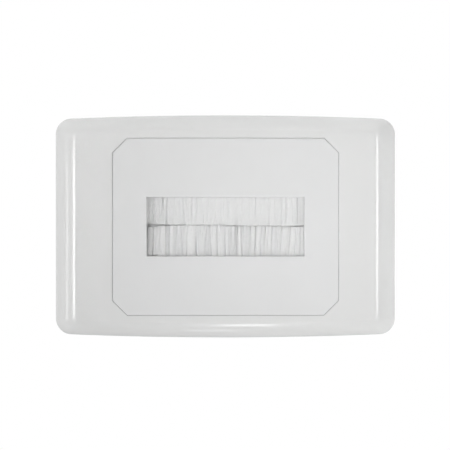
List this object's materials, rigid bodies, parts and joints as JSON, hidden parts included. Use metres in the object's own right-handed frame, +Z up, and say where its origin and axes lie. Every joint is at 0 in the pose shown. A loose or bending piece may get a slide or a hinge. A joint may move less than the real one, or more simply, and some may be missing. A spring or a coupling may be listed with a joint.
{
  "type": "brush cable grommet",
  "caption": "Rectangular wall plate with a clip-on surround and a slot closed by facing rows of bristles, for passing cables through a wall.",
  "frame": {"origin": "midway between the two wall screw holes, on the wall plane at the back of the flange", "axes": "+X to the right along the screw line, +Y into the wall, +Z up; the face looks along -Y"},
  "size_m": [0.116, 0.01, 0.076],
  "materials": {
    "surround_plastic": "white moulded plastic, smooth gloss",
    "plate_plastic": "white moulded plastic, smooth gloss",
    "channel_metal": "bare folded sheet",
    "wire_steel": "bright drawn wire",
    "bristle_nylon": "white nylon filament, satin",
    "retainer_plastic": "white moulded plastic, fine matt",
    "screw_steel": "zinc plated"
  },
  "bodies": {
    "root": {"surround_cover": "surround_plastic", "grid_plate": "plate_plastic", "upper_channel": "channel_metal", "lower_channel": "channel_metal", "upper_core_wire": "wire_steel", "lower_core_wire": "wire_steel", "upper_bristles": "bristle_nylon", "lower_bristles": "bristle_nylon", "brush_retainer": "retainer_plastic", "retainer_screws": "screw_steel"}
  },
  "joints": []
}
